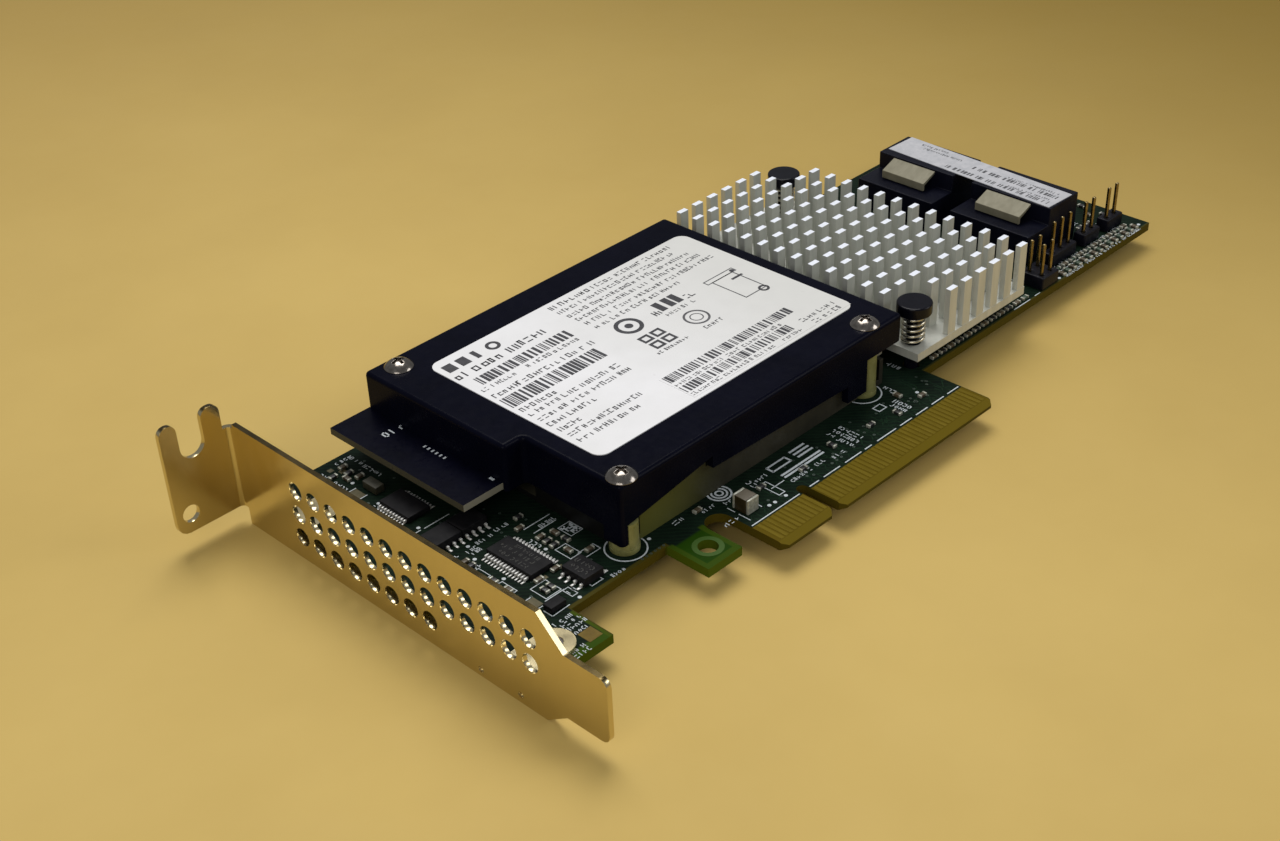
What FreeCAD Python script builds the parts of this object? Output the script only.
import FreeCAD, Part
import Sketcher
import math
import os
import re

# Low-profile raid controller card with a battery backup module.
# Frame: the key notch's centre line meets the connector edge at the origin, on the component face.
# +X runs from the bracket to the far end, +Y from the edge connector to the long back edge, +Z is up.

doc = FreeCAD.newDocument("raid_card")

# --------------------------------------------------------------------------------------
# Driving dimensions, in millimetres
# --------------------------------------------------------------------------------------
SIZES = {
    # board
    "board_thick": 1.57, "board_left": -57.4, "board_length": 166.7, "board_back": 68.9,
    "main_edge": 14.3, "recess_edge": 12.9, "tab_edge": 4.5,
    "pad_tab_right": -44.05, "hole_tab_left": -24.4, "hole_tab_right": -17.1, "slot_end": 13.3,
    "key_half": 0.95, "key_depth": 8.3, "first_section": 11.65, "second_section": 38.65,
    "corner_cut": 0.9, "bevel_length": 1.3, "bevel_drop": 0.5,
    "tab_hole_x": -20.35, "tab_hole_y": 8.3, "tab_hole_radius": 1.6, "tab_ring_width": 0.85,
    # edge contacts
    "contact_pitch": 1.0, "contact_width": 0.68, "contact_start": 1.4, "contact_length": 4.9,
    "contact_thick": 0.04, "contact_margin": 0.55,
    "ground_pad_x": -46.2, "ground_pad_y": 6.9, "ground_pad_side": 2.5,
    # bracket
    "sheet": 0.86, "bracket_face": -59.05, "bracket_top": 13.8, "bracket_low": -4.6, "bend_inner": 0.8,
    "tongue_tip": -9.7, "tongue_top": 9.2, "tongue_low": -1.75, "shoulder_top_y": 3.1, "shoulder_y": -1.7,
    "shoulder_low_y": 2.4, "tab_plane": 71.5, "bracket_end": 70.2,
    "screw_tab_length": 11.95, "screw_tab_top": 18.0, "screw_tab_low": -1.5, "screw_tab_round": 2.0,
    "prong_round": 1.4, "neck_setback": 1.15, "neck_drop": 0.6, "tongue_round": 1.5,
    "screw_slot_setback": 6.7, "screw_slot_width": 4.42, "screw_slot_bottom": 11.0,
    "small_hole_setback": 9.25, "small_hole_z": 1.75, "small_hole_radius": 1.5,
    "dimple_radius": 0.55, "dimple_depth": 0.3,
    "vent_pitch": 4.24, "vent_radius": 1.55, "vent_first_y": 55.95, "vent_top_z": 8.2,
    "ear_reach": 7.75, "ear_near_y": 8.65, "ear_far_y": 58.6, "ear_radius": 3.0,
    "bracket_screw_radius": 1.25, "bracket_screw_head": 2.4, "bracket_screw_head_height": 1.3,
    # battery module
    "cover_left": -34.9, "cover_step_x": -30.9, "cover_right": 34.6, "cover_front": 15.5,
    "cover_back": 68.8, "cover_step_y": 35.9, "cover_top": 12.8, "cover_wall": 1.2, "leg_low": 1.9,
    "leg_width": 1.25, "leg_back": 19.3, "arch_low": 5.4, "arch_peak_x": -11.2, "arch_peak": 8.2,
    "arch_step": 6.0, "far_leg_left": 21.0, "far_leg_right": 25.8, "far_cut": 7.8, "side_low": 5.0, "notch_low": 4.5,
    "module_board_left": -42.8, "module_board_front": 36.7, "module_board_low": 4.8,
    "module_board_thick": 1.2, "module_gap": 0.1,
    "tray_wall": 1.0, "tray_front": 17.0, "tray_left": -29.4, "tray_right": 32.0, "tray_back": 66.5,
    "tray_front_left": -25.7, "tray_front_right": 24.0, "tray_tall": 8.6, "tray_side_height": 5.6,
    "cell_left": -20.0, "cell_right": 29.0, "cell_front": 22.0, "cell_back": 64.0, "cell_height": 5.3,
    "post_radius": 2.2, "post_clearance": 0.3, "spigot_radius": 1.9, "cover_round": 0.8,
    "post_foot": 2.35, "post_foot_height": 0.8, "near_post_top": 6.2,
    "post_near_x": -28.6, "post_near_y": 17.4, "post_far_x": 27.8, "post_far_y": 17.9,
    "post_back_x": -30.2, "post_back_y": 65.6,
    "screw_shank": 1.2, "screw_bore": 1.3, "screw_length": 12.0, "screw_head": 2.45,
    "screw_dome": 3.1, "screw_head_height": 1.3, "cross_width": 0.55, "cross_length": 2.4,
    "cross_depth": 0.7,
    "label_left": -27.5, "label_right": 31.5, "label_front": 22.8, "label_back": 61.8,
    "label_thick": 0.15, "label_corner": 2.0,
    # heat sink
    "sink_left": 37.0, "sink_right": 67.2, "sink_front": 13.7, "sink_back": 68.2, "sink_low": 3.0,
    "sink_base": 1.5, "sink_top": 13.0, "pin_length": 2.0, "pin_width": 1.0,
    "pin_pitch_x": 3.97, "pin_pitch_y": 3.815, "pin_first_x": 38.2, "pin_first_y": 14.25,
    "chip_side": 27.0, "chip_height": 2.3, "chip_x": 52.1, "chip_y": 41.0, "thermal_side": 25.0,
    "push_near_x": 39.8, "push_near_y": 17.0, "push_far_x": 62.9, "push_far_y": 64.8,
    "push_shaft": 1.2, "push_bore": 1.45, "push_head": 3.0, "push_head_low": 10.1, "push_head_height": 2.1,
    "push_tip_radius": 1.8, "push_tip_length": 2.2,
    "spring_radius": 1.8, "spring_wire": 0.27, "spring_turns": 5.0,
    # connectors
    "sas_setback": 28.9, "sas_step": 6.4, "sas_depth": 15.4, "sas_step_height": 5.8, "sas_height": 9.1,
    "sas_width": 17.3, "sas_front": 22.0, "sas_gap": 4.2,
    "mouth_depth": 7.8, "mouth_width": 15.4, "mouth_low": 1.0, "mouth_height": 6.3,
    "tongue_depth": 4.4, "tongue_width": 12.6, "tongue_thick": 1.2,
    "latch_width": 9.7, "latch_offset": 4.1, "latch_thick": 0.5, "latch_lip": 1.5, "latch_reach": 3.6,
    "latch_top": 8.8, "latch_drop": 1.3,
    "sas_label_inset": 0.15, "sas_label_start": 0.5, "sas_label_width": 7.0, "sas_label_length": 37.6,
    "sas_label_turn": 2.6, "sas_label_thick": 0.12,
    "header_height": 2.5, "header_pitch": 2.54, "header_pin": 0.64, "header_pin_top": 8.5,
    "header_pin_low": -2.9, "header_hole_gap": 0.1,
    "pair_header_setback": 34.8, "pair_header_y": 14.5, "row_header_y": 18.0,
    "row_header_first": 26.4, "row_header_second": 16.2, "row_header_third": 8.6,
    # small parts
    "chip_gap": 0.1, "driver_x": -41.3, "driver_y": 26.6, "driver_width": 4.5, "driver_length": 9.7,
    "driver_height": 1.1, "driver_span": 7.5, "fine_pitch": 0.65, "fine_lead": 0.3, "lead_thick": 0.15,
    "lead_shoulder": 0.6, "lead_foot": 0.95,
    "small_chip_width": 3.9, "small_chip_length": 4.9, "small_chip_height": 1.6, "small_chip_span": 6.2,
    "small_pitch": 1.27, "small_lead": 0.42,
    "memory_x": -44.1, "memory_y": 49.6, "memory_width": 4.4, "memory_length": 7.0,
    "memory_height": 1.1, "memory_span": 6.8,
    "choke_x": -43.95, "choke_y": 57.4, "choke_width": 1.8, "choke_length": 3.3, "choke_height": 1.3,
    "ceramic_x": -9.55, "ceramic_y": 10.5, "ceramic_width": 2.5, "ceramic_length": 3.2,
    "ceramic_height": 2.6, "ceramic_cap": 0.45,
    "transistor_x": -45.3, "transistor_y": 14.95, "transistor_width": 3.0, "transistor_length": 1.8,
    "transistor_height": 1.0,
    "part_length": 1.6, "part_width": 0.8, "part_height": 0.5, "part_end": 0.35,
}

sheet = doc.addObject("Spreadsheet::Sheet", "Sizes")
for row, (alias, value) in enumerate(SIZES.items(), start=1):
    sheet.set("A%d" % row, alias)
    sheet.set("B%d" % row, str(value))
    sheet.setAlias("B%d" % row, alias)
doc.recompute()


def words(expression):
    """Turn plain alias words into references to the sheet."""
    return re.sub(r"[a-z]\w*", lambda found: "Sizes." + found.group(0), str(expression))


def number(expression):
    """The present value of an expression of aliases."""
    value = sheet.evalExpression(words(expression))
    return float(getattr(value, "Value", value))


def move_to(item, corner):
    for axis, expression in zip("xyz", corner):
        item.setExpression("Placement.Base." + axis, words(expression))
    return item


def box(name, corner, size):
    item = doc.addObject("Part::Box", name)
    for side, expression in zip(("Length", "Width", "Height"), size):
        item.setExpression(side, words(expression))
    return move_to(item, corner)


def centred_box(name, centre, size):
    """A box given by the centre of its foot."""
    corner = ("(%s) - (%s) / 2" % (centre[0], size[0]), "(%s) - (%s) / 2" % (centre[1], size[1]), centre[2])
    return box(name, corner, size)


def cylinder(name, base, radius, height):
    item = doc.addObject("Part::Cylinder", name)
    item.setExpression("Radius", words(radius))
    item.setExpression("Height", words(height))
    return move_to(item, base)


def cone(name, base, low_radius, high_radius, height):
    item = doc.addObject("Part::Cone", name)
    item.setExpression("Radius1", words(low_radius))
    item.setExpression("Radius2", words(high_radius))
    item.setExpression("Height", words(height))
    return move_to(item, base)


def outline_pad(name, plane, start, length, points):
    """A closed outline on an origin plane, bound point by point to the sheet, made into a plate."""
    body = doc.addObject("PartDesign::Body", name)
    sketch = body.newObject("Sketcher::SketchObject", name + "_outline")
    origin_plane = [item for item in body.Origin.OriginFeatures if item.Role == plane][0]
    sketch.AttachmentSupport = [(origin_plane, "")]
    sketch.MapMode = "FlatFace"
    sketch.setExpression("AttachmentOffset.Base.z", words(start))
    places = [FreeCAD.Vector(number(first), number(second), 0) for first, second in points]
    for index, place in enumerate(places):
        sketch.addGeometry(Part.LineSegment(place, places[(index + 1) % len(places)]), False)
    for index, (first, second) in enumerate(points):
        sketch.addConstraint(Sketcher.Constraint("Coincident", index, 2, (index + 1) % len(places), 1))
        for kind, expression, value in (("DistanceX", first, places[index].x), ("DistanceY", second, places[index].y)):
            made = sketch.addConstraint(Sketcher.Constraint(kind, -1, 1, index, 1, value))
            sketch.setExpression("Constraints[%d]" % made, words(expression))
    pad = body.newObject("PartDesign::Pad", name + "_pad")
    pad.Profile = sketch
    pad.setExpression("Length", words(length))
    body.Tip = pad
    return body


def rounded(corner, reached, left, radius):
    """Points round an outline's corner. reached and left are its directions on reaching and leaving it."""
    points = []
    for step in range(5):
        turn = math.radians(22.5 * step)
        before = math.sin(turn) - 1
        after = 1 - math.cos(turn)
        points.append(tuple("%s + %s * %.4f" % (corner[axis], radius, reached[axis] * before + left[axis] * after)
                            for axis in (0, 1)))
    return points


def fuse(name, items):
    item = doc.addObject("Part::MultiFuse", name)
    item.Shapes = items
    return item


def cut(name, base, tools):
    item = doc.addObject("Part::Cut", name)
    item.Base = base
    item.Tool = tools[0] if len(tools) == 1 else fuse(name + "_tools", tools)
    return item


def group(name, items):
    item = doc.addObject("Part::Compound", name)
    item.Links = items
    return item


NODES = []


def node(label, item):
    """Name a finished sub-part; its label names its file."""
    item.Label = label
    NODES.append(item)
    return item


# --------------------------------------------------------------------------------------
# Places shared by the board and what stands on it
# --------------------------------------------------------------------------------------
FINGER_LEFT = "0 - key_half - first_section"
FINGER_RIGHT = "key_half + second_section"
BOARD_RIGHT = "board_left + board_length"
EAR_X = "bracket_face + ear_reach"
SAS_LEFT = "board_left + board_length - sas_setback"
FIRST_CONTACTS = 11
SECOND_CONTACTS = 38
VENT_COUNTS = (13, 13, 8)
SINK_COLUMNS = 8
SINK_ROWS = 15
POSTS = {"near": ("post_near_x", "post_near_y"), "far": ("post_far_x", "post_far_y"),
         "back": ("post_back_x", "post_back_y")}
POST_TOPS = {"near": "near_post_top", "far": "far_cut", "back": "module_board_low + module_board_thick"}
PUSH_PINS = {"near": ("push_near_x", "push_near_y"), "far": ("push_far_x", "push_far_y")}
EARS = {"near": (EAR_X, "ear_near_y"), "far": (EAR_X, "ear_far_y")}
HEADERS = [("pair", BOARD_RIGHT + " - pair_header_setback", "pair_header_y", 2, 2),
           ("first", BOARD_RIGHT + " - row_header_first", "row_header_y", 3, 1),
           ("second", BOARD_RIGHT + " - row_header_second", "row_header_y", 2, 1),
           ("third", BOARD_RIGHT + " - row_header_third", "row_header_y", 2, 1)]


def header_places():
    """Every header pin's centre."""
    places = []
    for _, left, front, columns, rows in HEADERS:
        for column in range(columns):
            for line in range(rows):
                places.append(("%s + header_pitch * %s" % (left, column + 0.5),
                               "%s + header_pitch * %s" % (front, line + 0.5)))
    return places


# --------------------------------------------------------------------------------------
# Circuit board: laminate with a connector tongue, a key notch, a U slot, two tabs and its holes
# --------------------------------------------------------------------------------------
def make_board():
    slot_half = "((%s) - hole_tab_right) / 2" % FINGER_LEFT
    slot_centre = "slot_end - " + slot_half
    key_centre = "key_depth - key_half"
    outline = [
        (FINGER_RIGHT, "corner_cut"), (FINGER_RIGHT, "main_edge"), (BOARD_RIGHT, "main_edge"),
        (BOARD_RIGHT, "board_back"), ("board_left", "board_back"), ("board_left", "tab_edge"),
        ("pad_tab_right", "tab_edge"), ("pad_tab_right", "recess_edge"), ("hole_tab_left", "recess_edge"),
        ("hole_tab_left", "tab_edge"), ("hole_tab_right", "tab_edge"), ("hole_tab_right", slot_centre),
        (FINGER_LEFT, slot_centre), (FINGER_LEFT, "corner_cut"), (FINGER_LEFT + " + corner_cut", "0"),
        ("0 - key_half - corner_cut", "0"), ("0 - key_half", "corner_cut"), ("0 - key_half", key_centre),
        ("key_half", key_centre), ("key_half", "corner_cut"), ("key_half + corner_cut", "0"),
        (FINGER_RIGHT + " - corner_cut", "0"),
    ]
    plate = outline_pad("board_plate", "XY_Plane", "0 - board_thick", "board_thick", outline)
    low = "0 - board_thick - 1"
    through = "board_thick + 2"
    tools = [
        cylinder("slot_end_round", ("((%s) + hole_tab_right) / 2" % FINGER_LEFT, slot_centre, low), slot_half, through),
        cylinder("key_round", ("0", key_centre, low), "key_half", through),
        cylinder("tab_hole", ("tab_hole_x", "tab_hole_y", low), "tab_hole_radius", through),
        outline_pad("upper_bevel", "YZ_Plane", FINGER_LEFT + " - 1", "first_section + second_section + 4", [
            ("bevel_length", "0"), ("0", "0 - bevel_drop"), ("-1", "0 - bevel_drop"), ("-1", "1"),
            ("bevel_length", "1")]),
        outline_pad("lower_bevel", "YZ_Plane", FINGER_LEFT + " - 1", "first_section + second_section + 4", [
            ("bevel_length", "0 - board_thick"), ("bevel_length", "0 - board_thick - 1"),
            ("-1", "0 - board_thick - 1"), ("-1", "bevel_drop - board_thick"),
            ("0", "bevel_drop - board_thick")]),
    ]
    for name, (x, y) in POSTS.items():
        tools.append(cylinder("post_hole_" + name, (x, y, low), "spigot_radius", through))
    for name, (x, y) in PUSH_PINS.items():
        tools.append(cylinder("push_hole_" + name, (x, y, low), "push_bore", through))
    for name, (x, y) in EARS.items():
        tools.append(cylinder("ear_hole_" + name, (x, y, low), "bracket_screw_radius", through))
    for index, (x, y) in enumerate(header_places()):
        tools.append(cylinder("header_hole_%d" % index, (x, y, low), "header_pin * 0.71 + header_hole_gap", through))
    return node("circuit_board", cut("circuit_board", plate, tools))


# --------------------------------------------------------------------------------------
# Edge contacts on both faces of the tongue, the ground pad and the plated ring of the tab hole
# --------------------------------------------------------------------------------------
def make_contacts():
    sections = [("a", FINGER_LEFT, FIRST_CONTACTS, 2), ("b", "key_half", SECOND_CONTACTS, 1)]
    pads = []
    for name, left, count, margins_before in sections:
        for index in range(count):
            centre = "%s + contact_margin * %d + contact_pitch * %d" % (left, margins_before, index)
            for face, level in (("top", "0"), ("low", "0 - board_thick - contact_thick")):
                pads.append(centred_box(
                    "contact_%s_%s_%d" % (name, face, index),
                    (centre, "contact_start + contact_length / 2", level),
                    ("contact_width", "contact_length", "contact_thick")))
    node("edge_contacts", group("edge_contacts", pads))
    ring = cut("tab_ring",
               cylinder("ring_outer", ("tab_hole_x", "tab_hole_y", "0"), "tab_hole_radius + tab_ring_width",
                        "contact_thick"),
               [cylinder("ring_inner", ("tab_hole_x", "tab_hole_y", "-1"), "tab_hole_radius", "2")])
    square = centred_box("ground_square", ("ground_pad_x", "ground_pad_y", "0"),
                         ("ground_pad_side", "ground_pad_side", "contact_thick"))
    node("tab_pads", group("tab_pads", [ring, square]))


# --------------------------------------------------------------------------------------
# Bracket: one folded, perforated sheet with a screw tab, a tongue and two mounting ears
# --------------------------------------------------------------------------------------
DIMPLES = [(7.6, -3.2), (15.8, -3.4)]


def make_bracket():
    bend_y = "tab_plane - bend_inner"
    bend_x = "bracket_face - bend_inner"
    tongue_corner = rounded(("tongue_tip", "tongue_low"), (-1, 0), (0, 1), "tongue_round")
    tongue_shoulder = rounded(("tongue_tip", "tongue_top"), (0, 1), (1, 0), "tongue_round")
    face = outline_pad("bracket_sheet", "YZ_Plane", "bracket_face", "sheet", [
        (bend_y, "screw_tab_low"), ("bracket_end", "screw_tab_low"), ("bracket_end", "bracket_low"),
        ("shoulder_low_y", "bracket_low"), ("shoulder_y", "tongue_low")] + tongue_corner + tongue_shoulder + [
        ("shoulder_y", "tongue_top"), ("shoulder_top_y", "bracket_top"), (bend_y, "bracket_top")])
    tab_end = "bracket_face - screw_tab_length"
    neck = "bracket_face - neck_setback"
    neck_top = "bracket_top - neck_drop"
    slot_x = "bracket_face - screw_slot_setback"
    slot_half = "screw_slot_width / 2"
    slot_centre = "screw_slot_bottom + " + slot_half
    slot_left = slot_x + " - " + slot_half
    slot_right = slot_x + " + " + slot_half
    left = (-1, 0)
    right = (1, 0)
    up = (0, 1)
    down = (0, -1)
    tab_outline = [(bend_x, "screw_tab_low")]
    tab_outline += rounded((tab_end, "screw_tab_low"), left, up, "screw_tab_round")
    tab_outline += rounded((tab_end, "screw_tab_top"), up, right, "prong_round")
    tab_outline += rounded((slot_left, "screw_tab_top"), right, down, "prong_round")
    tab_outline += [(slot_left, slot_centre), (slot_right, slot_centre)]
    tab_outline += rounded((slot_right, "screw_tab_top"), up, right, "prong_round")
    tab_outline += rounded((neck, "screw_tab_top"), right, down, "prong_round")
    tab_outline += [(neck, neck_top), (bend_x, neck_top)]
    tab = outline_pad("screw_tab", "XZ_Plane", "0 - tab_plane - sheet", "sheet", tab_outline)
    bend_low = (bend_x, bend_y, "screw_tab_low")
    bend_height = neck_top + " - screw_tab_low"
    outer = cylinder("bend_outer", bend_low, "bend_inner + sheet", bend_height)
    outer.Angle = 90
    bend = cut("bend", outer, [cylinder("bend_hollow", bend_low, "bend_inner", bend_height)])
    pieces = [face, tab, bend]
    for name, (x, y) in EARS.items():
        pieces.append(box("ear_plate_" + name, ("bracket_face + sheet", "%s - ear_radius" % y, "0"),
                          ("%s - bracket_face - sheet" % x, "ear_radius * 2", "sheet")))
        pieces.append(cylinder("ear_round_" + name, (x, y, "0"), "ear_radius", "sheet"))
    tools = []
    for line, count in enumerate(VENT_COUNTS):
        for index in range(count):
            hole = cylinder("vent_%d_%d" % (line, index),
                            ("bracket_face - 1", "vent_first_y - vent_pitch * %d" % index,
                             "vent_top_z - vent_pitch * %d" % line), "vent_radius", "sheet + 2")
            hole.Placement.Rotation = FreeCAD.Rotation(FreeCAD.Vector(0, 1, 0), 90)
            tools.append(hole)
    for name, x, z, radius in (("slot_round", slot_x, slot_centre, slot_half),
                               ("small_hole", "bracket_face - small_hole_setback", "small_hole_z",
                                "small_hole_radius")):
        hole = cylinder(name, (x, "tab_plane + sheet + 1", z), radius, "sheet + 2")
        hole.Placement.Rotation = FreeCAD.Rotation(FreeCAD.Vector(1, 0, 0), 90)
        tools.append(hole)
    for index, (y, z) in enumerate(DIMPLES):
        dimple = cylinder("dimple_%d" % index, ("bracket_face - 1", str(y), str(z)), "dimple_radius",
                          "1 + dimple_depth")
        dimple.Placement.Rotation = FreeCAD.Rotation(FreeCAD.Vector(0, 1, 0), 90)
        tools.append(dimple)
    for name, (x, y) in EARS.items():
        tools.append(cylinder("ear_bore_" + name, (x, y, "-1"), "bracket_screw_radius", "sheet + 2"))
    node("bracket", cut("bracket", fuse("bracket_blank", pieces), tools))
    screws = []
    for name, (x, y) in EARS.items():
        shank = cylinder("bracket_shank_" + name, (x, y, "0 - board_thick"), "bracket_screw_radius",
                         "board_thick + sheet")
        head = cylinder("bracket_head_" + name, (x, y, "0 - board_thick - bracket_screw_head_height"),
                        "bracket_screw_head", "bracket_screw_head_height")
        screws.append(fuse("bracket_screw_" + name, [shank, head]))
    node("bracket_screws", group("bracket_screws", screws))


# --------------------------------------------------------------------------------------
# Battery module: moulded cover, label, cell, daughterboard, tray, three posts and three screws
# --------------------------------------------------------------------------------------
def make_cover():
    def shell(name, inset, low, height):
        return outline_pad(name, "XY_Plane", low, height, [
            ("cover_left + " + inset, "cover_back - " + inset), ("cover_left + " + inset, "cover_step_y + " + inset),
            ("cover_step_x + " + inset, "cover_step_y + " + inset), ("cover_step_x + " + inset, "cover_front + " + inset),
            ("cover_right - " + inset, "cover_front + " + inset), ("cover_right - " + inset, "cover_back - " + inset)])
    blank = shell("cover_blank", "0", "leg_low", "cover_top - leg_low")
    doc.recompute()
    outer = doc.addObject("Part::Fillet", "cover_outer")
    outer.Base = blank
    outer.Edges = [(index + 1, number("cover_round"), number("cover_round"))
                   for index, edge in enumerate(blank.Shape.Edges)
                   if edge.BoundBox.ZMax > number("cover_top") - 0.01]
    inner = shell("cover_inner", "cover_wall", "leg_low - 1", "cover_top - cover_wall - leg_low + 1")
    board_top = "module_board_low + module_board_thick"
    low = "leg_low - 1"
    arch = outline_pad("arch", "XZ_Plane", "0 - cover_front - cover_wall - 1", "cover_wall + 2", [
        ("cover_step_x + leg_width", low), ("far_leg_left", low), ("far_leg_left", "side_low"),
        ("arch_peak_x", "arch_step"), ("arch_peak_x", "arch_peak"), ("cover_step_x + leg_width", "arch_low")])
    tools = [
        inner, arch,
        box("back_relief", ("cover_left - 1", "module_board_front - module_gap", low),
            ("cover_right - cover_left + 2", "cover_back - module_board_front + 1", board_top + " - leg_low + 1")),
        box("bracket_side_relief", ("cover_left - 1", "leg_back", low),
            ("cover_step_x - cover_left + cover_wall + 2", "module_board_front - leg_back",
             "notch_low - leg_low + 1")),
        box("far_side_relief", ("cover_right - cover_wall - 1", "leg_back", low),
            ("cover_wall + 2", "module_board_front - leg_back", "side_low - leg_low + 1")),
        box("far_corner_relief", ("far_leg_right", "cover_front - 1", low),
            ("cover_right - far_leg_right + 1", "leg_back - cover_front + 1", "far_cut - leg_low + 1")),
    ]
    hollow = cut("cover_hollow", outer, tools)
    bosses = fuse("cover_bosses", [
        cylinder("boss_" + name, (x, y, POST_TOPS[name]), "post_radius",
                 "cover_top - cover_wall - (%s)" % POST_TOPS[name]) for name, (x, y) in POSTS.items()])
    trimmed = doc.addObject("Part::MultiCommon", "cover_trimmed")
    trimmed.Shapes = [outer, bosses]
    bores = [cylinder("cover_bore_" + name, (x, y, low), "screw_bore", "cover_top") for name, (x, y) in POSTS.items()]
    bores.append(cylinder("far_post_relief", ("post_far_x", "post_far_y", low), "post_radius + module_gap",
                          "far_cut - leg_low + 1"))
    node("battery_cover", cut("battery_cover", fuse("cover_solid", [hollow, trimmed]), bores))


def make_module():
    board_top = "module_board_low + module_board_thick"
    plate = outline_pad("module_plate", "XY_Plane", "module_board_low", "module_board_thick", [
        ("module_board_left", "module_board_front"), ("tray_left + tray_wall + module_gap", "module_board_front"),
        ("tray_left + tray_wall + module_gap", "tray_front + tray_wall + module_gap"),
        ("cover_right - cover_wall - module_gap * 4", "tray_front + tray_wall + module_gap"),
        ("cover_right - cover_wall - module_gap * 4", "cover_back - module_gap"),
        ("module_board_left", "cover_back - module_gap")])
    clear = "post_radius + post_clearance"
    reliefs = [cylinder("module_relief_" + name, (x, y, "module_board_low - 1"), clear, "module_board_thick + 2")
               for name, (x, y) in POSTS.items()]
    leg_gap = box("module_leg_gap", ("cover_step_x - 1", "cover_front - 1", "module_board_low - 1"),
                  ("cover_wall + 1 + module_gap", "leg_back - cover_front + 1 + module_gap",
                   "module_board_thick + 2"))
    node("battery_board", cut("battery_board", plate, reliefs + [leg_gap]))
    node("battery_cell", box("battery_cell", ("cell_left", "cell_front", board_top),
                             ("cell_right - cell_left", "cell_back - cell_front", "cell_height")))
    side = "module_board_front - tray_front - post_radius - 2 * tray_wall"
    floor = box("tray_floor", ("tray_left", "tray_front", "0"),
                ("tray_right - tray_left", "tray_back - tray_front", "tray_wall"))
    walls = [
        box("tray_tall_wall", ("tray_front_left", "tray_front", "0"),
            ("arch_peak_x - tray_front_left", "tray_wall", "tray_tall")),
        box("tray_long_wall", ("tray_front_left", "tray_front", "0"),
            ("tray_front_right - tray_front_left", "tray_wall", "tray_side_height")),
        box("tray_bracket_wall", ("tray_left", "tray_front + post_radius + tray_wall", "0"),
            ("tray_wall", side, "side_low")),
        box("tray_far_wall", ("tray_right - tray_wall", "tray_front", "0"),
            ("tray_wall", "tray_back - tray_front", "module_board_low")),
        box("tray_back_wall", ("tray_left", "tray_back - tray_wall", "0"),
            ("tray_right - tray_left", "tray_wall", "module_board_low")),
    ]
    clears = [cylinder("tray_relief_" + name, (x, y, "-1"), clear, "tray_tall + 2") for name, (x, y) in POSTS.items()]
    leg_clear = box("tray_leg_gap", ("cover_step_x - 1", "cover_front - 1", "leg_low - module_gap"),
                    ("leg_width + 1 + module_gap", "leg_back - cover_front + 1 + module_gap", "tray_tall"))
    node("battery_tray", cut("battery_tray", fuse("tray_blank", [floor] + walls), clears + [leg_clear]))
    sticker = box("label_blank", ("label_left", "label_front", "cover_top"),
                  ("label_right - label_left", "label_back - label_front", "label_thick"))
    doc.recompute()
    rounded = doc.addObject("Part::Fillet", "battery_label")
    rounded.Base = sticker
    rounded.Edges = [(edge, number("label_corner"), number("label_corner")) for edge in (1, 3, 5, 7)]
    node("battery_label", rounded)


def make_posts():
    posts = []
    screws = []
    for name, (x, y) in POSTS.items():
        column = fuse("post_column_" + name, [
            cylinder("post_shaft_" + name, (x, y, "0"), "post_radius", POST_TOPS[name]),
            cylinder("post_foot_" + name, (x, y, "0"), "post_foot", "post_foot_height"),
            cylinder("post_spigot_" + name, (x, y, "0 - board_thick"), "spigot_radius", "board_thick")])
        carved = [cylinder("post_bore_" + name, (x, y, "cover_top - screw_length"), "screw_bore", "screw_length")]
        if name == "near":
            carved.append(box("post_leg_gap", ("cover_step_x - 1", "cover_front - 1", "leg_low"),
                              ("leg_width + 1 + module_gap", "leg_back - cover_front + 2", "near_post_top")))
            carved.append(box("post_wall_gap", ("cover_step_x - 1", "cover_front - 1", "arch_low - module_gap"),
                              ("leg_back - cover_front + 2 * post_radius", "cover_wall + 1 + module_gap",
                               "near_post_top")))
        posts.append(cut("post_" + name, column, carved))
        shank = cylinder("shank_" + name, (x, y, "cover_top - screw_length"), "screw_shank", "screw_length")
        dome = doc.addObject("Part::Sphere", "dome_" + name)
        dome.setExpression("Radius", words("screw_dome"))
        move_to(dome, (x, y, "cover_top + screw_head_height - screw_dome"))
        head = doc.addObject("Part::MultiCommon", "head_" + name)
        head.Shapes = [dome, cylinder("head_blank_" + name, (x, y, "cover_top"), "screw_head", "screw_head_height")]
        level = "cover_top + screw_head_height - cross_depth"
        crosses = [
            centred_box("cross_a_" + name, (x, y, level), ("cross_width", "cross_length", "cross_depth + 1")),
            centred_box("cross_b_" + name, (x, y, level), ("cross_length", "cross_width", "cross_depth + 1"))]
        screws.append(cut("screw_" + name, fuse("screw_blank_" + name, [shank, head]), crosses))
    node("standoffs", group("standoffs", posts))
    node("battery_screws", group("battery_screws", screws))


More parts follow.
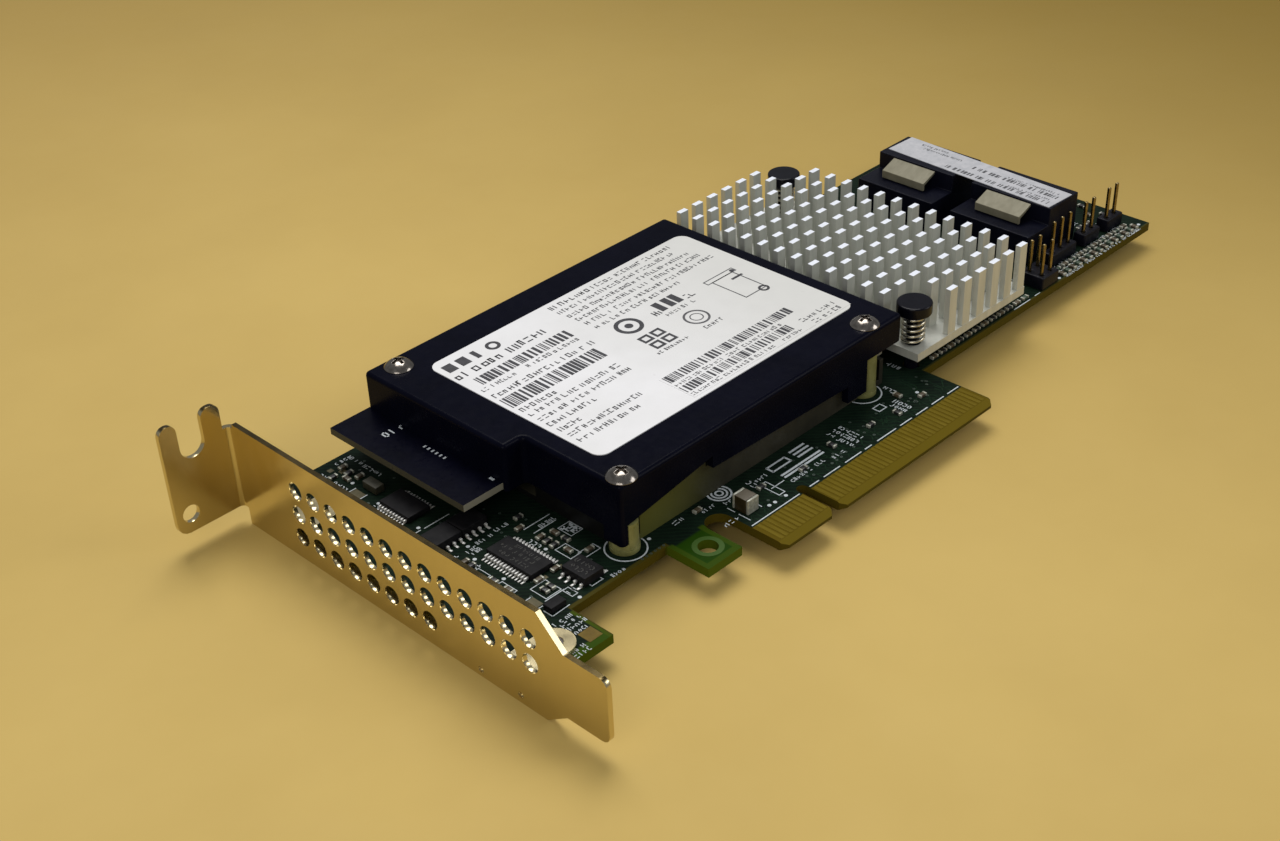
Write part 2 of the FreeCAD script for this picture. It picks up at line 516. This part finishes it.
# --------------------------------------------------------------------------------------
# Heat sink on its processor, held by two push pins with coil springs
# --------------------------------------------------------------------------------------
def make_heat_sink():
    base = box("sink_plate", ("sink_left", "sink_front", "sink_low"),
               ("sink_right - sink_left", "sink_back - sink_front", "sink_base"))
    pins = []
    for column in range(SINK_COLUMNS):
        for row in range(SINK_ROWS):
            near_corner = column < 2 and row < 2
            far_corner = column >= SINK_COLUMNS - 2 and row >= SINK_ROWS - 2
            if near_corner or far_corner:
                continue
            pins.append(centred_box(
                "pin_%d_%d" % (column, row),
                ("pin_first_x + pin_pitch_x * %d" % column, "pin_first_y + pin_pitch_y * %d" % row,
                 "sink_low + sink_base"),
                ("pin_length", "pin_width", "sink_top - sink_low - sink_base")))
    bores = [cylinder("sink_bore_" + name, (x, y, "sink_low - 1"), "push_bore", "sink_base + 2")
             for name, (x, y) in PUSH_PINS.items()]
    node("heat_sink", cut("heat_sink", fuse("sink_blank", [base] + pins), bores))
    node("processor", centred_box("processor", ("chip_x", "chip_y", "0"), ("chip_side", "chip_side", "chip_height")))
    node("thermal_pad", centred_box("thermal_pad", ("chip_x", "chip_y", "chip_height"),
                                    ("thermal_side", "thermal_side", "sink_low - chip_height")))


def make_push_pins():
    pins = []
    springs = []
    for name, (x, y) in PUSH_PINS.items():
        tip_low = "0 - board_thick - push_tip_length"
        pins.append(fuse("push_pin_" + name, [
            cylinder("push_shaft_" + name, (x, y, tip_low), "push_shaft",
                     "push_head_low + board_thick + push_tip_length"),
            cylinder("push_head_" + name, (x, y, "push_head_low"), "push_head", "push_head_height"),
            cone("push_tip_" + name, (x, y, tip_low), "push_shaft", "push_tip_radius", "push_tip_length")]))
        seat = "sink_low + sink_base + spring_wire"
        span = "push_head_low - sink_low - sink_base - 2 * spring_wire"
        path = doc.addObject("Part::Helix", "spring_path_" + name)
        path.setExpression("Radius", words("spring_radius"))
        path.setExpression("Height", words(span))
        path.setExpression("Pitch", words("(%s) / spring_turns" % span))
        move_to(path, (x, y, seat))
        section = doc.addObject("Part::Circle", "spring_section_" + name)
        section.setExpression("Radius", words("spring_wire"))
        section.Placement.Rotation = FreeCAD.Rotation(FreeCAD.Vector(1, 0, 0), 90)
        move_to(section, ("%s + spring_radius" % x, y, seat))
        coil = doc.addObject("Part::Sweep", "spring_" + name)
        coil.Sections = [section]
        coil.Spine = (path, [])
        coil.Solid = True
        coil.Frenet = True
        springs.append(coil)
    node("push_pins", group("push_pins", pins))
    node("push_pin_springs", group("push_pin_springs", springs))


# --------------------------------------------------------------------------------------
# Two mini-SAS receptacles side by side, their latches and the label across them
# --------------------------------------------------------------------------------------
def make_sas():
    housings = []
    tongues = []
    latches = []
    wall = SAS_LEFT + " + sas_step"
    right = SAS_LEFT + " + sas_depth"
    for index in range(2):
        front = "sas_front + (sas_width + sas_gap) * %d" % index
        middle = "%s + sas_width / 2" % front
        shell = fuse("sas_shell_%d" % index, [
            box("sas_block_%d" % index, (wall, front, "0"), ("sas_depth - sas_step", "sas_width", "sas_height")),
            box("sas_heel_%d" % index, (SAS_LEFT, front, "0"), ("sas_step", "sas_width", "sas_step_height"))])
        mouth = box("sas_mouth_%d" % index, (right + " - mouth_depth", "%s - mouth_width / 2" % middle, "mouth_low"),
                    ("mouth_depth + 1", "mouth_width", "mouth_height"))
        housings.append(cut("sas_housing_%d" % index, shell, [mouth]))
        tongues.append(box("sas_tongue_%d" % index,
                           (right + " - mouth_depth", "%s - tongue_width / 2" % middle,
                            "mouth_low + (mouth_height - tongue_thick) / 2"),
                           ("tongue_depth", "tongue_width", "tongue_thick")))
        tip = wall + " - latch_reach"
        tip_top = "latch_top - latch_drop"
        latches.append(outline_pad(
            "sas_latch_%d" % index, "XZ_Plane", "0 - (%s) - latch_offset - latch_width" % front, "latch_width", [
                (wall, "latch_top"), (tip, tip_top), (tip, tip_top + " - latch_lip"),
                (tip + " + latch_thick", tip_top + " - latch_lip"),
                (tip + " + latch_thick", tip_top + " - latch_thick"), (wall, "latch_top - latch_thick")]))
    node("sas_housings", group("sas_housings", housings))
    node("sas_tongues", group("sas_tongues", tongues))
    node("sas_latches", group("sas_latches", latches))
    sticker = box("sas_label", (wall + " + sas_label_inset", "sas_front + sas_label_start", "sas_height"),
                  ("sas_label_width", "sas_label_length", "sas_label_thick"))
    sticker.setExpression("Placement.Rotation.Angle", words("0 - sas_label_turn"))
    node("sas_label", sticker)


# --------------------------------------------------------------------------------------
# Pin headers along the far corner
# --------------------------------------------------------------------------------------
def make_headers():
    bases = []
    pins = []
    for index, (x, y) in enumerate(header_places()):
        pins.append(centred_box("header_pin_%d" % index, (x, y, "header_pin_low"),
                                ("header_pin", "header_pin", "header_pin_top - header_pin_low")))
    for name, left, front, columns, rows in HEADERS:
        block = box("header_block_" + name, (left, front, "0"),
                    ("header_pitch * %d" % columns, "header_pitch * %d" % rows, "header_height"))
        holes = [centred_box("header_bore_%s_%d" % (name, index),
                             ("%s + header_pitch * %s" % (left, index % columns + 0.5),
                              "%s + header_pitch * %s" % (front, index // columns + 0.5), "-1"),
                             ("header_pin", "header_pin", "header_height + 2"))
                 for index in range(columns * rows)]
        bases.append(cut("header_base_" + name, block, holes))
    node("header_bases", group("header_bases", bases))
    node("header_pins", group("header_pins", pins))


# --------------------------------------------------------------------------------------
# Packages with two rows of bent leads
# --------------------------------------------------------------------------------------
def leaded_chip(name, centre, size, span, pitch, lead, count, along):
    """A moulded body and its leads. The two rows run along X or Y."""
    width, length, height = size
    body_size = (width, length) if along == "y" else (length, width)
    body = centred_box(name + "_body", (centre[0], centre[1], "chip_gap"), body_size + (height + " - chip_gap",))
    leads = []
    for side in (-1, 1):
        foot_offset = "(%s - lead_foot) / 2" % span
        riser_length = "(%s - %s) / 2 - lead_foot + lead_thick * 2" % (span, width)
        riser_offset = "%s / 2 + (%s) / 2" % (width, riser_length)
        for index in range(count):
            step = "%s * %s" % (pitch, index - (count - 1) / 2)
            for kind, offset, reach, low, high in (
                    ("foot", foot_offset, "lead_foot", "0", "lead_thick"),
                    ("riser", riser_offset, riser_length, "lead_thick", "lead_shoulder")):
                across = "%d * (%s)" % (side, offset)
                place = (across, step) if along == "y" else (step, across)
                extent = (reach, lead) if along == "y" else (lead, reach)
                leads.append(centred_box(
                    "%s_%s_%d_%d" % (name, kind, side + 1, index),
                    ("%s + %s" % (centre[0], place[0]), "%s + %s" % (centre[1], place[1]), low),
                    extent + ("%s - %s" % (high, low),)))
    return body, leads


SMALL_CHIPS = [("regulator", -37.45, 17.25, "y"), ("monitor", -40.8, 38.9, "x"), ("gate", -45.9, 38.9, "x")]


def make_chips():
    driver, driver_leads = leaded_chip("driver", ("driver_x", "driver_y"),
                                       ("driver_width", "driver_length", "driver_height"), "driver_span",
                                       "fine_pitch", "fine_lead", 14, "y")
    node("driver_chip", driver)
    node("driver_leads", group("driver_leads", driver_leads))
    memory, memory_leads = leaded_chip("memory", ("memory_x", "memory_y"),
                                       ("memory_width", "memory_length", "memory_height"), "memory_span",
                                       "fine_pitch", "fine_lead", 10, "y")
    node("memory_chip", memory)
    node("memory_leads", group("memory_leads", memory_leads))
    bodies = []
    leads = []
    for name, x, y, along in SMALL_CHIPS:
        body, legs = leaded_chip(name, (str(x), str(y)), ("small_chip_width", "small_chip_length", "small_chip_height"),
                                 "small_chip_span", "small_pitch", "small_lead", 4, along)
        bodies.append(body)
        leads += legs
    node("small_chips", group("small_chips", bodies))
    node("small_chip_leads", group("small_chip_leads", leads))


# --------------------------------------------------------------------------------------
# Ceramic capacitor, transistor, choke and the small two-ended parts
# --------------------------------------------------------------------------------------
TAN_PARTS = [(-42.7, 21.0, "x"), (-39.3, 21.1, "x"), (-47.1, 32.3, "x"), (-47.2, 22.6, "y"),
             (-34.9, 22.9, "y"), (-36.0, 32.4, "x"), (-32.6, 20.8, "x"), (-45.2, 62.6, "y"),
             (-43.4, 61.6, "x"), (-43.6, 65.6, "x"), (-15.0, 15.4, "x"), (30.4, 12.6, "y"),
             (33.0, 9.6, "x"), (-35.4, 28.4, "x"), (-33.2, 27.6, "y")]
DARK_PARTS = [(-47.1, 30.9, "x"), (-43.8, 18.6, "y"), (-42.6, 18.6, "y"), (-47.2, 25.8, "y"),
              (-35.4, 26.9, "x"), (-35.4, 25.4, "x"), (-33.2, 25.2, "y"), (-34.2, 34.6, "x"),
              (-46.4, 64.6, "x"), (-44.0, 63.6, "x"), (-4.0, 12.2, "x"), (4.0, 10.6, "x"),
              (12.0, 11.4, "y"), (20.6, 10.4, "x"), (26.2, 9.4, "y")]
# parts between the heat sink and the sockets, by their distance before the sockets
TAN_BY_SOCKETS = [(8.8, 17.4, "y"), (6.2, 22.6, "y"), (5.8, 32.0, "x"), (7.0, 46.0, "y"), (4.8, 57.6, "y")]
DARK_BY_SOCKETS = [(8.6, 26.4, "x"), (5.8, 38.4, "y"), (8.0, 52.8, "x"), (5.4, 63.4, "x")]
# parts past the sockets, by their distance from the end of the board
TAN_BY_END = [(7.9, 22.6, "x"), (4.7, 24.6, "y"), (10.1, 26.2, "y"), (3.9, 31.6, "x"), (7.3, 37.0, "y")]
DARK_BY_END = [(2.9, 22.4, "y"), (10.3, 22.8, "x"), (6.3, 27.8, "x"), (2.5, 27.4, "y"), (8.7, 31.4, "y"),
               (4.9, 43.6, "x")]
EDGE_START = 44.0
EDGE_COUNT = 12
EDGE_STEP = 2.4
CORNER_SETBACK = 27.3
CORNER_COUNT = 15
CORNER_STEP = 1.7
INNER_SETBACK = 26.4
INNER_COUNT = 10
INNER_STEP = 2.4
EDGE_ROW_Y = 15.4
INNER_ROW_Y = 17.0


def set_back(parts, edge):
    """Places measured back from an edge that moves with the board."""
    return [("%s - %s" % (edge, setback), y, along) for setback, y, along in parts]


def row_of_parts(start, count, step, y, along):
    return [("%s + %s" % (start, round(step * index, 3)), y, along) for index in range(count)]


def make_small_parts():
    end_width = "(ceramic_length - 2 * ceramic_cap)"
    ceramic = centred_box("ceramic_capacitor", ("ceramic_x", "ceramic_y", "0"),
                          ("ceramic_width", end_width, "ceramic_height"))
    node("ceramic_capacitor", ceramic)
    caps = [centred_box("ceramic_end_%d" % index,
                        ("ceramic_x", "ceramic_y + %d * (ceramic_length - ceramic_cap) / 2" % side, "0"),
                        ("ceramic_width", "ceramic_cap", "ceramic_height")) for index, side in enumerate((-1, 1))]
    node("ceramic_ends", group("ceramic_ends", caps))
    node("transistor", centred_box("transistor", ("transistor_x", "transistor_y", "0"),
                                   ("transistor_width", "transistor_length", "transistor_height")))
    edge_row = row_of_parts(EDGE_START, EDGE_COUNT, EDGE_STEP, EDGE_ROW_Y, "x")
    corner_row = row_of_parts(BOARD_RIGHT + " - %s" % CORNER_SETBACK, CORNER_COUNT, CORNER_STEP, EDGE_ROW_Y, "y")
    inner_row = row_of_parts(BOARD_RIGHT + " - %s" % INNER_SETBACK, INNER_COUNT, INNER_STEP, INNER_ROW_Y, "x")
    tan_places = TAN_PARTS + set_back(TAN_BY_END, BOARD_RIGHT) + set_back(TAN_BY_SOCKETS, SAS_LEFT)
    dark_places = DARK_PARTS + set_back(DARK_BY_END, BOARD_RIGHT) + set_back(DARK_BY_SOCKETS, SAS_LEFT)
    tan_places += edge_row[0::2] + corner_row[0::2] + inner_row[1::2]
    dark_places += edge_row[1::2] + corner_row[1::2] + inner_row[0::2]
    node("choke", centred_box("choke", ("choke_x", "choke_y", "0"),
                              ("choke_width", "choke_length", "choke_height")))
    ends = []
    kinds = {"chip_capacitors": tan_places, "chip_resistors": dark_places}
    for label, places in kinds.items():
        bodies = []
        for index, (x, y, along) in enumerate(places):
            middle = "part_length - 2 * part_end"
            size = (middle, "part_width") if along == "x" else ("part_width", middle)
            bodies.append(centred_box("%s_%d" % (label, index), (x, y, "0"), size + ("part_height",)))
            for side in (-1, 1):
                shift = "%d * (part_length - part_end) / 2" % side
                place = ("%s + %s" % (x, shift), y) if along == "x" else (x, "%s + %s" % (y, shift))
                size_end = ("part_end", "part_width") if along == "x" else ("part_width", "part_end")
                ends.append(centred_box("%s_end_%d_%d" % (label, index, side + 1), place + ("0",),
                                        size_end + ("part_height",)))
        node(label, group(label, bodies))
    node("chip_terminals", group("chip_terminals", ends))


make_board()
make_contacts()
make_bracket()
make_cover()
make_module()
make_posts()
make_heat_sink()
make_push_pins()
make_sas()
make_headers()
make_chips()
make_small_parts()
doc.recompute()

# --------------------------------------------------------------------------------------
# Check and export
# --------------------------------------------------------------------------------------
for item in doc.Objects:
    if "Invalid" in item.State or "Error" in item.State:
        raise RuntimeError("%s is not valid: %s" % (item.Name, item.State))
for item in NODES:
    if item.Shape.isNull() or not item.Shape.isValid():
        raise RuntimeError("%s has no valid shape" % item.Label)
os.makedirs("parts", exist_ok=True)
for item in NODES:
    item.Shape.exportStep("parts/%s.step" % item.Label)
    print("%-20s solids %3d volume %10.2f" % (item.Label, len(item.Shape.Solids), item.Shape.Volume))
